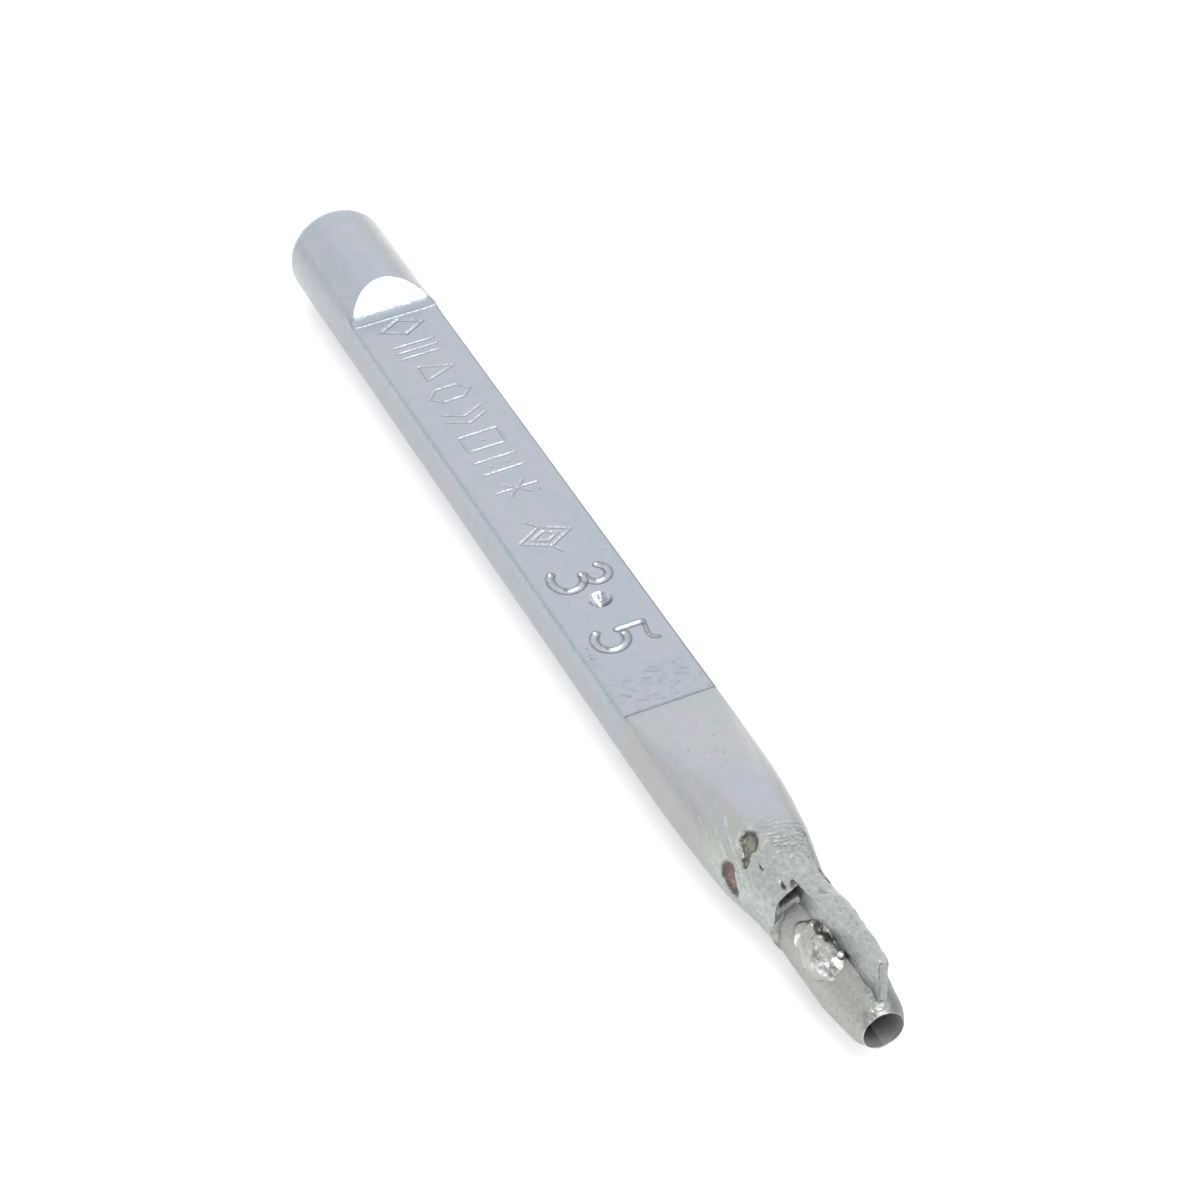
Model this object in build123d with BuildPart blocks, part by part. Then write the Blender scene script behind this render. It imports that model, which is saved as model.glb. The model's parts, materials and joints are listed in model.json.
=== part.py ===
"""Drive hole punch for leather: a forged round steel bar with a cutting tube welded to its end.

The tool lies on its back, as it would on a bench. +X runs along the bar to the cutting mouth,
+Z is the side of the bar that carries the marking flat, and the bar rests on Z = 0.
"""

import os

from build123d import *

# Overall size of the tool
overall_length = 120.0
bar_radius = 5.0
axis_height = bar_radius
head_x = -overall_length / 2
mouth_x = overall_length / 2
head_rounding = 1.7

# Marking flat pressed into the bar. Stations are distances back from the cutting mouth,
# and levels are heights above the bar's axis.
flat_level = 2.55
flat_ramp_top = 105.9
flat_ramp_foot = 102.1
flat_end = 39.1
flat_end_step = 0.15
shoulder_rise_length = 13.0
shoulder_level = 4.6
shoulder_end_slope = 0.25

# Forged neck: each section is an ellipse given by its station, half width, half height and
# the level of its centre
neck_sections = (
    (32.0, 5.0, 5.0, 0.0),
    (27.0, 4.82, 4.82, 0.0),
    (22.0, 4.4, 4.35, -0.05),
    (18.0, 3.72, 3.8, -0.15),
    (13.5, 3.13, 3.42, -0.33),
)
neck_root = neck_sections[0][0]
neck_end = neck_sections[-1][0]

# Cutting tube, welded under the web
tube_level = -0.85
tube_radius = 2.9
bore_radius = 1.75
edge_radius = 1.83
bevel_mid_station = 1.1
bevel_mid_radius = 2.3
bevel_length = 5.0
window_width = 3.5
window_front = 7.0
window_back = 12.3

# Web: the thin plate left standing on the tube, which leans away from the flat's own direction
web_lean = -16.5
web_root_station = 17.0
web_root_height = 2.4
web_crown_station = 9.0
web_crown_height = 4.0
web_end_height = 4.5
web_top_end = 2.45
web_foot_end = 1.0
web_thinning_station = 10.5
web_root_half_thickness = 1.3
web_end_half_thickness = 0.45
web_corner = 0.6

# Weld metal
bead_station = 7.8
bead_half_length = 2.8
bead_radius = 1.55
bead_offset = 1.65
bead_level = 1.2
root_weld_length = 1.1
root_weld_chamfer = 0.3
root_weld_half_width = 2.95
root_weld_top = 2.5
root_weld_bottom = -3.6
spatter_radius = 0.24
spatter_station = 6.0
spatter_y = -0.5
spatter_level = 2.1

# How far a cutting tool runs past the metal it cuts
cut_margin = 1.0


def from_mouth(station):
    """X of a station measured back from the cutting mouth."""
    return mouth_x - station


def section_plane(station):
    """Plane across the bar at a station, with its origin on the bar's axis."""
    return Plane(origin=(from_mouth(station), 0, axis_height), x_dir=(0, 1, 0), z_dir=(1, 0, 0))


# Upright plane through the bar's axis, with X to the right and Z up
upright = Plane(origin=(0, 0, axis_height), x_dir=(1, 0, 0), z_dir=(0, -1, 0))

# The same plane turned about the bar's axis to the lean of the web
web_plane = upright.rotated((web_lean, 0, 0))

bar_axis = Axis((0, 0, axis_height), (1, 0, 0))
tube_axis = Axis((0, 0, axis_height + tube_level), (1, 0, 0))

# Outer form of the tube, with its bore still solid: it shapes the tube and all that fits on it
with BuildPart() as tube_blank:
    with BuildSketch(upright):
        with BuildLine():
            back = (from_mouth(neck_end), tube_level)
            mouth = (mouth_x, tube_level)
            edge = (mouth_x, tube_level + edge_radius)
            shoulder = (from_mouth(bevel_length), tube_level + tube_radius)
            back_top = (from_mouth(neck_end), tube_level + tube_radius)
            Line(back, mouth)
            Line(mouth, edge)
            Spline(
                edge,
                (from_mouth(bevel_mid_station), tube_level + bevel_mid_radius),
                shoulder,
            )
            Line(shoulder, back_top)
            Line(back_top, back)
        make_face()
    revolve(axis=tube_axis)

# Web, tapering in thickness from the neck to its free end
with BuildPart() as web_blank:
    with BuildSketch(web_plane):
        with BuildLine():
            foot_root = (from_mouth(web_root_station), 0)
            foot_end = (from_mouth(web_foot_end), 0)
            foot = (from_mouth(web_foot_end), tube_level + bevel_mid_radius)
            top_end = (from_mouth(web_top_end), web_end_height)
            crown = (from_mouth(web_crown_station), web_crown_height)
            top_root = (from_mouth(web_root_station), web_root_height)
            Line(foot_root, foot_end)
            Line(foot_end, foot)
            Line(foot, top_end)
            ThreePointArc(top_end, crown, top_root)
            Line(top_root, foot_root)
        make_face()
        fillet(vertices().sort_by(Axis.Z)[-1], web_corner)
    extrude(amount=web_root_half_thickness, both=True)
    with BuildSketch(Plane(web_plane.origin, x_dir=(1, 0, 0), z_dir=web_plane.y_dir)):
        with BuildLine():
            Polyline(
                (from_mouth(web_root_station), -web_root_half_thickness),
                (from_mouth(web_thinning_station), -web_root_half_thickness),
                (from_mouth(web_foot_end), -web_end_half_thickness),
                (from_mouth(web_foot_end), web_end_half_thickness),
                (from_mouth(web_thinning_station), web_root_half_thickness),
                (from_mouth(web_root_station), web_root_half_thickness),
                close=True,
            )
        make_face()
    extrude(amount=bar_radius, mode=Mode.INTERSECT)
    add(tube_blank.part, mode=Mode.SUBTRACT)

# Shank: round bar, forged neck and web in one piece, with the marking flat pressed in
with BuildPart() as shank:
    with BuildSketch(upright):
        with BuildLine():
            Line((head_x, 0), (head_x, bar_radius - head_rounding))
            RadiusArc(
                (head_x, bar_radius - head_rounding),
                (head_x + head_rounding, bar_radius),
                head_rounding,
            )
            Line((head_x + head_rounding, bar_radius), (from_mouth(neck_root), bar_radius))
            Line((from_mouth(neck_root), bar_radius), (from_mouth(neck_root), 0))
            Line((from_mouth(neck_root), 0), (head_x, 0))
        make_face()
    revolve(axis=bar_axis)
    for station, half_width, half_height, centre_level in neck_sections:
        with BuildSketch(section_plane(station)):
            with Locations((0, centre_level)):
                Ellipse(half_width, half_height)
    loft()
    with BuildSketch(upright):
        with BuildLine():
            Polyline(
                (from_mouth(flat_ramp_top), bar_radius),
                (from_mouth(flat_ramp_foot), flat_level),
                (from_mouth(flat_end), flat_level),
                (from_mouth(flat_end), flat_level + flat_end_step),
            )
            Spline(
                (from_mouth(flat_end), flat_level + flat_end_step),
                (from_mouth(flat_end - shoulder_rise_length), shoulder_level),
                tangents=((1, 0), (1, shoulder_end_slope)),
            )
            Polyline(
                (from_mouth(flat_end - shoulder_rise_length), shoulder_level),
                (from_mouth(flat_end - shoulder_rise_length), 2 * bar_radius),
                (from_mouth(flat_ramp_top), 2 * bar_radius),
                (from_mouth(flat_ramp_top), bar_radius),
            )
        make_face()
    extrude(amount=bar_radius + cut_margin, both=True, mode=Mode.SUBTRACT)
    add(web_blank.part)
shank.part.label = "shank"

# Cutting tube: bevelled outside to a sharp mouth, bored right through, with a slug window below
with BuildPart() as cutting_tube:
    add(tube_blank.part)
    with BuildSketch(section_plane(neck_end)):
        with Locations((0, tube_level)):
            Circle(bore_radius)
    extrude(amount=neck_end, mode=Mode.SUBTRACT)
    with BuildSketch(Plane.XY.offset(axis_height + tube_level)):
        with Locations(((from_mouth(window_front) + from_mouth(window_back)) / 2, 0)):
            SlotOverall(window_back - window_front, window_width)
    extrude(amount=-tube_radius - cut_margin, mode=Mode.SUBTRACT)
cutting_tube.part.label = "cutting_tube"

# Weld beads: a run of weld metal in the corner between tube and web, on each face
beads = {}
for side_name, side in (("left", -1), ("right", 1)):
    bead_axis = Axis((0, side * bead_offset, axis_height + bead_level), (1, 0, 0))
    with BuildPart() as bead:
        with BuildSketch(upright.offset(-side * bead_offset)):
            with BuildLine():
                arc = EllipticalCenterArc(
                    (from_mouth(bead_station), bead_level),
                    bead_half_length,
                    bead_radius,
                    start_angle=0,
                    arc_size=180,
                )
                Line(arc @ 1, arc @ 0)
            make_face()
        revolve(axis=bead_axis)
        add(tube_blank.part, mode=Mode.SUBTRACT)
        add(web_blank.part, mode=Mode.SUBTRACT)
        across = Plane(web_plane.origin, x_dir=(1, 0, 0), z_dir=web_plane.z_dir * -side)
        split(bisect_by=across, keep=Keep.TOP)
    bead.part.label = "weld_bead_" + side_name
    beads[side_name] = bead.part

# Root weld: a low crescent of weld metal in the step between the neck's end and the tube
with BuildPart() as root_weld:
    with BuildSketch(section_plane(neck_end)):
        with Locations((0, (root_weld_top + root_weld_bottom) / 2)):
            Ellipse(root_weld_half_width, (root_weld_top - root_weld_bottom) / 2)
    extrude(amount=root_weld_length)
    chamfer(faces().sort_by(Axis.X)[-1].edges(), root_weld_chamfer)
    add(tube_blank.part, mode=Mode.SUBTRACT)
    add(web_blank.part, mode=Mode.SUBTRACT)
root_weld.part.label = "root_weld"

# Spatter: one bead of thrown weld metal, stuck on the tube beside the web
with BuildPart() as weld_spatter:
    with Locations((from_mouth(spatter_station), spatter_y, axis_height + spatter_level)):
        Sphere(spatter_radius)
    add(tube_blank.part, mode=Mode.SUBTRACT)
    add(web_blank.part, mode=Mode.SUBTRACT)
weld_spatter.part.label = "weld_spatter"

os.makedirs("parts", exist_ok=True)
export_step(shank.part, "parts/shank.step")
export_step(cutting_tube.part, "parts/cutting_tube.step")
export_step(beads["left"], "parts/weld_bead_left.step")
export_step(beads["right"], "parts/weld_bead_right.step")
export_step(root_weld.part, "parts/root_weld.step")
export_step(weld_spatter.part, "parts/weld_spatter.step")
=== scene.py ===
"""The looks of a drive hole punch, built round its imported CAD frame.

Lengths are millimetres here, and turn into metres as each mesh is made. A station is a distance
back from the cutting mouth, a level is a height above the bar's axis, and an angle is measured
about the bar's axis from +Z towards +Y, in degrees.
"""

import json
import math

import bpy
import numpy as np
from mathutils import Matrix, Vector, noise


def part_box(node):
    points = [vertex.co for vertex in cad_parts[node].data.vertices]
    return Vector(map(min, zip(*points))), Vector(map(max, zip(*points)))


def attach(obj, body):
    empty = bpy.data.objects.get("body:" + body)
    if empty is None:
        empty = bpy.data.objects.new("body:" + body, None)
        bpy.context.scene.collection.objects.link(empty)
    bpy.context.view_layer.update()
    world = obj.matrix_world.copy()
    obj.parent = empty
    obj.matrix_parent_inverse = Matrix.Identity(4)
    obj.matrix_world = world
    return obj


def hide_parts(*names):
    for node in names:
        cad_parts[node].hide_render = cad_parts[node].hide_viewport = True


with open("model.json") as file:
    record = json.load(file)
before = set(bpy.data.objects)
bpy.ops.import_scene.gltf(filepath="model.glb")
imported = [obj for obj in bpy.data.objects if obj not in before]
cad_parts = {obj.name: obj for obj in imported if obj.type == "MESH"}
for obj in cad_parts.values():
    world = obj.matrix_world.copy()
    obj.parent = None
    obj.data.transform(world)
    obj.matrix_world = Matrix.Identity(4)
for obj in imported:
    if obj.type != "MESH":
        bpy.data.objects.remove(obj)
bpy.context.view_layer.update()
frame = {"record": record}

MM = 0.001
mounts = {mount["name"]: mount for mount in frame["record"]["mounts"]}
axis_height = mounts["striking_face"]["pos_m"][2] / MM
bar_radius = mounts["shank_grip"]["dims"]["r_mm"]
bore_radius = mounts["cutting_bore"]["dims"]["r_mm"]
tube_level = mounts["cutting_bore"]["pos_m"][2] / MM - axis_height
mouth_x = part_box("cutting_tube")[1].x / MM
head_station = mouth_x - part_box("shank")[0].x / MM

# Bar and marking flat
head_rounding = 1.7
flat_level = 2.55
ramp_top = 105.9
ramp_slope = 0.79
ramp_fillet = 1.1
ramp_end = 103.45
band_start = ramp_end - ramp_fillet
ramp_foot = 102.1
flat_end = 39.1
flat_edge_angle = math.degrees(math.acos(flat_level / bar_radius))

# Crown that rises from the flat's end towards the neck: station, level
crown_levels = (
    (18.0, 8.5), (22.0, 6.4), (26.0, 5.1), (30.0, 4.2), (34.0, 3.45), (37.0, 2.95), (flat_end, 2.68),
)

# Forged neck: station, half width on the left, on the right, half height, level of the centre
neck_sections = (
    (13.0, 3.12, 3.10, 3.40, -0.34),
    (14.5, 3.33, 3.13, 3.47, -0.30),
    (16.6, 3.68, 3.22, 3.65, -0.20),
    (18.7, 4.16, 3.66, 3.90, -0.13),
    (20.8, 4.50, 4.14, 4.20, -0.08),
    (23.0, 4.63, 4.44, 4.45, -0.04),
    (25.2, 4.76, 4.70, 4.68, 0.00),
    (27.4, 4.85, 4.86, 4.84, 0.00),
    (32.0, 4.97, 4.96, 4.97, 0.00),
    (36.0, 5.00, 5.00, 5.00, 0.00),
)

# Web: station, height of its top along its own leaning direction, half thickness
web_lean = 16.5
web_sections = (
    (1.0, 4.45, 0.42),
    (2.4, 4.48, 0.46),
    (4.0, 4.42, 0.69),
    (6.0, 4.28, 0.88),
    (8.0, 4.12, 1.10),
    (10.0, 3.85, 1.30),
    (12.0, 3.45, 1.32),
    (14.6, 3.02, 1.34),
)
web_foot_height = 1.35
web_top_end = 2.4
web_foot_end = 1.0
web_top_angle = 23.0
web_side_angle = 125.0

# Lip where the neck stops beside the web: angle, station
lip_stations = (
    (-180, 13.2), (-85, 13.1), (-65, 13.25), (-45, 13.6), (-15, 13.75), (-5, 13.9), (60, 14.6), (180, 13.4),
)
lip_middle = 13.6
bar_end = 15.4

# Rows of the shank's grid: the head's flat face by share of the radius, its rounding, the rows between
# the bar's end and the lip, the rows beyond the lip that nothing moves, those that the lip shades, and
# the last ones, which close the web's end
head_face_shares = (0.12, 0.3, 0.5, 0.62, 0.655)
head_rounding_rows = 12
rows_above_lip = 10
still_rows = 8
shaded_rows = 20
web_end_rows = 4

# Cutting tube: station, outer radius
tube_radius = 2.9
tube_back = 15.6
tube_outline = (
    (0.0, 1.83), (0.35, 2.0), (0.9, 2.25), (1.8, 2.43), (2.8, 2.56), (4.0, 2.74), (5.2, 2.88),
    (7.0, tube_radius), (13.4, tube_radius), (tube_back, 2.7),
)
window_front = 7.0
window_back = 12.3
window_width = 3.5


# ---- small helpers


def fade(low, high, x):
    """0 below low, 1 above high, and a soft S between."""
    t = np.clip((x - low) / (high - low), 0.0, 1.0)
    return t * t * (3.0 - 2.0 * t)


def bell(x, centre, width):
    """1 at the centre, falling off softly to both sides."""
    return np.exp(-(((x - centre) / width) ** 2))


def mix(a, b, t):
    """a where t is 0, b where t is 1."""
    return a + (b - a) * t


def soft_min(a, b, k):
    """The smaller of a and b, with a fillet of about k where they cross."""
    h = np.clip(0.5 + 0.5 * (b - a) / k, 0.0, 1.0)
    return mix(b, a, h) - k * h * (1.0 - h)


def through(points, x, column=1):
    """A smooth curve through given points, read at x."""
    table = np.array(points, float)
    xs, ys = table[:, 0], table[:, column]
    slopes = np.gradient(ys, xs)
    x = np.clip(x, xs[0], xs[-1])
    i = np.clip(np.searchsorted(xs, x) - 1, 0, len(xs) - 2)
    h = xs[i + 1] - xs[i]
    t = (x - xs[i]) / h
    start = (1 + 2 * t) * (1 - t) ** 2 * ys[i] + t * (1 - t) ** 2 * h * slopes[i]
    end = t * t * (3 - 2 * t) * ys[i + 1] + t * t * (t - 1) * h * slopes[i + 1]
    return start + end


def lumps(places, size, seed):
    """Smooth noise from about -1 to 1 at each place, with lumps of that size."""
    offset = Vector((seed * 7.3, seed * 3.1, seed * 5.7))
    flat = places.reshape(-1, 3) / size
    values = [noise.noise(Vector(place) + offset) for place in flat]
    return np.array(values).reshape(places.shape[:-1])


def grid_normals(places):
    """Outward normals of a grid: rows run towards the mouth, columns turn from -Y over +Z to +Y."""
    along = np.gradient(places, axis=0)
    around = np.roll(places, -1, axis=1) - np.roll(places, 1, axis=1)
    normal = np.cross(along, around)
    length = np.linalg.norm(normal, axis=2, keepdims=True)
    return normal / np.maximum(length, 1e-9)


def leaning(angles):
    """Angles measured from the web's own direction, from -180 to 180."""
    return np.mod(angles - web_lean + 180.0, 360.0) - 180.0


def to_frame(stations, y, level):
    """Places in the frame, in millimetres, from stations and levels."""
    return np.stack([mouth_x - stations, y, level + axis_height], axis=-1)


def put_in_scene(name, data):
    """A new object of that mesh, light or camera."""
    thing = bpy.data.objects.new(name, data)
    bpy.context.scene.collection.objects.link(thing)
    return thing


def new_mesh(name, places, faces):
    """A mesh from places in millimetres."""
    mesh = bpy.data.meshes.new(name)
    mesh.from_pydata((np.array(places) * MM).tolist(), [], faces)
    return mesh


def make_piece(name, places, faces, material, nodes, marks):
    """A smooth mesh piece that rides on the one body and stands for the CAD nodes."""
    mesh = new_mesh(name, places, faces)
    mesh.update()
    for key, values in marks.items():
        attribute = mesh.attributes.new(key, "FLOAT", "POINT")
        attribute.data.foreach_set("value", np.asarray(values, np.float32).ravel())
    mesh.polygons.foreach_set("use_smooth", [True] * len(mesh.polygons))
    piece = put_in_scene(name, mesh)
    piece.data.materials.append(material)
    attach(piece, "root")
    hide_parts(*nodes)
    return piece


def grid_faces(rows, columns, close_rows=False):
    """Quads of a grid whose columns close into rings. close_rows joins the last row to the first."""
    faces = []
    for row in range(rows if close_rows else rows - 1):
        this, after = row * columns, (row + 1) % rows * columns
        for column in range(columns):
            beside = (column + 1) % columns
            faces.append((this + column, this + beside, after + beside, after + column))
    return faces


def cap_faces(ring, centre, turned):
    """Triangles from a ring's vertices to a centre vertex."""
    pairs = zip(ring, ring[1:] + ring[:1])
    return [(b, a, centre) if turned else (a, b, centre) for a, b in pairs]


# ---- stamped marks


def arc(centre, radii, start, end, points=14):
    """Points of part of an ellipse in a mark's own plane."""
    turn = np.radians(np.linspace(start, end, points))
    return [(centre[0] + radii[0] * math.cos(a), centre[1] + radii[1] * math.sin(a)) for a in turn]


def polygon(sides, radii, turn=90.0):
    """A closed regular outline, stretched to its two radii."""
    angles = [math.radians(turn + 360.0 * k / sides) for k in range(sides + 1)]
    return [(radii[0] * math.cos(a), radii[1] * math.sin(a)) for a in angles]


def dot(u, v):
    """A stroke so short that it stamps a dot."""
    return [(u - 0.02, v), (u + 0.02, v)]


# Eight plain shapes stamped in a row. Each is a list of strokes, with u in the reading direction
plain_shapes = (
    [polygon(4, (1.25, 2.1))],
    [[(u, -2.0), (u, 2.0)] for u in (-1.0, 0.0, 1.0)],
    [polygon(3, (1.4, 2.1))],
    [polygon(6, (1.2, 2.1))],
    [[(u, 1.9), (u + 1.0, 0.0), (u, -1.9)] for u in (-1.1, 0.1)],
    [polygon(4, (1.7, 2.7), 45.0), dot(0.0, 0.0)],
    [[(-1.0, -2.0), (-1.0, 2.0)], [(1.0, -2.0), (1.0, 2.0)], dot(0.0, -0.9), dot(0.0, 0.9)],
    [[(1.1 * math.cos(a), 2.0 * math.sin(a)), (-1.1 * math.cos(a), -2.0 * math.sin(a))]
     for a in np.radians((30, 90, 150))],
)
first_shape_station = 100.5
shape_pitch = 4.05
emblem = [
    polygon(4, (1.5, 2.5)), polygon(4, (0.7, 1.2)), [(-1.5, 0.0), (-2.7, -0.9)], [(1.5, 0.0), (2.6, 0.6)],
]
emblem_station = 64.5
emblem_y = -0.5

# The hole size, three and a half millimetres
three = [arc((-0.45, -1.28), (1.72, 1.45), 90, -132), arc((-0.1, 1.4), (1.2, 1.12), 150, -100)]
five = [arc((0.1, -1.15), (1.5, 1.44), 100, -142)]
five_back = [[(-0.83, -0.1), (-0.82, 2.25)]]
five_flag = [[(-0.9, 2.4), (0.9, 2.1), (1.45, 2.25), (1.7, 2.75)]]

# Half widths of the strokes. Those wider than narrow_width are rounded at the bottom, not V-grooves
first_shape_width = 0.26
shape_width = 0.2
emblem_width = 0.22
digit_width = 0.38
back_width = 0.32
flag_width = 0.17
narrow_width = 0.3
three_station = 57.5
five_station = 48.9
digit_reach = 2.4
dimple_station = 54.13
dimple_y = 0.28
dimple_radius = 1.05
dimple_depth = 1.05
groove_slope = 0.8

# Small pits on the flat: station, y
flat_pits = (
    (41.8, -2.1), (41.2, 1.75), (40.9, 1.4), (40.8, 3.2), (40.5, -0.7), (40.7, 0.9), (39.8, 1.05),
    (39.65, -0.3), (41.0, 3.8), (43.6, 2.4), (52.5, -4.1), (48.6, -3.5), (47.2, -3.8), (71.0, 1.8),
)

# Scratches on the flat: station and y of both ends
flat_scratches = (
    ((43.6, -0.4), (43.1, 1.1)), ((42.9, -0.9), (42.6, -0.1)), ((43.9, 0.2), (43.8, 0.9)),
    ((42.2, 1.9), (41.7, 2.9)), ((41.9, -3.3), (41.1, -2.7)), ((42.6, 2.6), (42.4, 3.3)),
    ((40.4, -2.3), (40.2, -1.5)), ((43.2, -2.4), (43.0, -1.8)),
)


def stroke_list():
    """Every stamped stroke: its points as station and y, and its half width."""
    strokes = []

    def stamp(shape, station, half_width, across=0.0):
        for line in shape:
            strokes.append((np.array([(station - u, across + v) for u, v in line]), half_width))

    for count, shape in enumerate(plain_shapes):
        half_width = shape_width if count else first_shape_width
        stamp(shape, first_shape_station - shape_pitch * count, half_width)
    stamp(emblem, emblem_station, emblem_width, emblem_y)
    stamp(three, three_station, digit_width)
    stamp(five, five_station, digit_width)
    stamp(five_back, five_station, back_width)
    stamp(five_flag, five_station, flag_width)
    return strokes


def outline_marks(station, y):
    """1 on the thin painted shade lines that outline the digits, fading to 0 away from them."""
    near = np.full(station.shape, 9.0)
    for line, half_width in stroke_list():
        if line[:, 0].max() < three_station + digit_reach:
            near = np.minimum(near, np.abs(distance_to(line, station, y) - half_width))
    return bell(near, 0.0, 0.08)


def distance_to(line, station, y):
    """Distance of each place from a line of points."""
    nearest = np.full(station.shape, 1e3)
    for (x0, y0), (x1, y1) in zip(line[:-1], line[1:]):
        run = np.array((x1 - x0, y1 - y0))
        t = ((station - x0) * run[0] + (y - y0) * run[1]) / max(run @ run, 1e-9)
        t = np.clip(t, 0.0, 1.0)
        nearest = np.minimum(nearest, np.hypot(station - x0 - t * run[0], y - y0 - t * run[1]))
    return nearest


def stamped_depth(station, y):
    """How deep the stamps go at each place of the flat, with the metal thrown up beside them."""
    depth = np.zeros(station.shape)
    thrown = np.zeros(station.shape)
    for line, half_width in stroke_list():
        near = distance_to(line, station, y) / half_width
        groove = groove_slope * half_width * np.clip(1.0 - near, 0.0, 0.85)
        if half_width > narrow_width:
            groove = 0.6 * half_width * np.clip(1.0 - near**2, 0.0, 1.0)
        depth = np.maximum(depth, groove)
        thrown = np.maximum(thrown, 0.035 * half_width * bell(near, 1.3, 0.3))
    run, across = station - dimple_station, y - dimple_y
    near = np.hypot(run, across) / dimple_radius
    cone = np.clip(1.0 - near, 0.0, 1.0)
    flutes = 0.16 * np.cos(11.0 * np.arctan2(across, run)) * cone * np.clip(near, 0.0, 1.0)
    depth = np.maximum(depth, dimple_depth * cone + flutes)
    thrown = np.maximum(thrown, 0.045 * bell(near, 1.15, 0.12))
    return np.where(depth > 0.004, depth, -thrown)


# ---- the shank


def steps(start, end, size):
    """Evenly spaced values from start to end, both included."""
    return np.linspace(start, end, max(2, int(round(abs(end - start) / size)) + 1))


def column_angles():
    """Angles of the shank's columns: close together over the flat, with one on each of its edges."""
    half_flat = flat_level * math.tan(math.radians(flat_edge_angle))
    across = np.concatenate([
        steps(-half_flat, -3.15, 0.2), steps(-3.15, -2.2, 0.12)[1:], steps(-2.2, 2.2, 0.09)[1:],
        steps(2.2, 3.15, 0.12)[1:], steps(3.15, half_flat, 0.2)[1:],
    ])
    over_flat = np.degrees(np.arctan2(across, flat_level))
    left = steps(-126.0, -flat_edge_angle, 2.8)[:-1]
    below = steps(-178.0, -126.0, 6.5)[:-1]
    right = steps(flat_edge_angle, 178.0, 6.5)[1:-1]
    return np.concatenate([below, left, over_flat, right])


def flat_stations():
    """Stations of the rows over the flat, close together where it is stamped."""
    zones = [(first_shape_station - shape_pitch * count, 1.5) for count in range(len(plain_shapes))]
    zones += [(emblem_station, 2.8), (three_station, 2.1), (dimple_station, 1.2), (five_station, 2.1)]
    stations = []
    here = ramp_foot
    for centre, reach in zones:
        stations += list(steps(here, centre + reach, 0.3)[:-1])
        stations += list(steps(centre + reach, centre - reach, 0.1)[:-1])
        here = centre - reach
    stations += list(steps(here, 44.2, 0.3)[:-1])
    stations += list(steps(44.2, flat_end + 0.12, 0.14))
    return np.array(stations + [flat_end + 0.06, flat_end + 0.03, flat_end])


def arch_station(angles):
    """Station where the ramp runs out on the round bar, and beyond the ramp a line the rows can follow."""
    on_ramp = ramp_top - bar_radius * (1.0 - np.cos(np.radians(angles))) / ramp_slope
    beside = ramp_end + 0.05 + 1.0 * fade(50.0, 100.0, np.abs(angles))
    return np.maximum(np.where(np.abs(angles) < 75.0, on_ramp, 0.0), beside)


def cut_level(station):
    """Level of the metal left over the bar's axis by the ramp, the flat and the crown beyond it."""
    ramp = bar_radius - (ramp_top - station) * ramp_slope
    foot = bar_radius - (ramp_top - ramp_end) * ramp_slope - 0.5 * ramp_slope * ramp_fillet
    fillet = foot + 0.5 * ramp_slope / ramp_fillet * (station - band_start) ** 2
    ridge_stations = (ramp_foot, ramp_foot + 0.1, ramp_foot + 0.17, band_start)
    ridge = np.interp(station, ridge_stations, (flat_level, foot - 0.01, foot + 0.02, foot))
    level = np.where(station > ramp_end, ramp, fillet)
    level = np.where(station < band_start, ridge, level)
    level = np.where(station <= ramp_foot, flat_level, level)
    return np.where(station < flat_end, through(crown_levels, station), level)


def round_radius(station, angles):
    """Distance of the bar's or the neck's round surface from the section's centre."""
    inside_neck = station < neck_sections[-1][0]
    left = through(neck_sections, station, 1)
    right = through(neck_sections, station, 2)
    height = through(neck_sections, station, 3)
    turn = np.radians(angles)
    lean_right = 0.5 + 0.5 * np.tanh(3.0 * np.sin(turn))
    width = mix(left, right, lean_right)
    ellipse = 1.0 / np.hypot(np.sin(turn) / width, np.cos(turn) / height)
    return np.where(inside_neck, ellipse, bar_radius)


def bar_places(station, angles):
    """Surface of the bar, the flat and the neck at a station and an angle."""
    turn = np.radians(angles)
    centre = np.where(station < neck_sections[-1][0], through(neck_sections, station, 4), 0.0)
    radius = round_radius(station, angles)
    upward = np.cos(turn)
    cut = np.where(upward > 0.05, (cut_level(station) - centre) / np.maximum(upward, 0.05), 99.0)
    softness = mix(0.05, 1.1, fade(flat_end, flat_end - 6.0, station))
    radius = soft_min(radius, cut, softness)
    return to_frame(station, radius * np.sin(turn), centre + radius * upward)


def web_outline(station, angles):
    """Across-web and along-web position of each column on the web's rounded section."""
    lean = leaning(angles)
    turned = np.abs(lean)
    half = through(web_sections, station, 2)
    top = through(web_sections, station, 1)
    over = np.clip(turned / web_top_angle, 0.0, 1.0)
    down = np.clip((turned - web_top_angle) / (web_side_angle - web_top_angle), 0.0, 1.0)
    under = np.clip((turned - web_side_angle) / (180.0 - web_side_angle), 0.0, 1.0)
    rounding = 0.22 * np.clip(half, 0.0, 0.8)
    across = np.sign(lean) * half * over * (1.0 - under)
    height = top - rounding * over**4 - (top - rounding - web_foot_height) * down
    return across, height


def web_places(station, across, height):
    """Places on the web from its own leaning axes."""
    lean = math.radians(web_lean)
    y = across * math.cos(lean) + height * math.sin(lean)
    level = height * math.cos(lean) - across * math.sin(lean)
    return to_frame(station, y, level)


def web_end_station(height):
    """Station of the web's slanting end face at a height."""
    share = (height - web_foot_height) / (web_sections[0][1] - web_foot_height)
    return web_foot_end + (web_top_end - web_foot_end) * share


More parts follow.
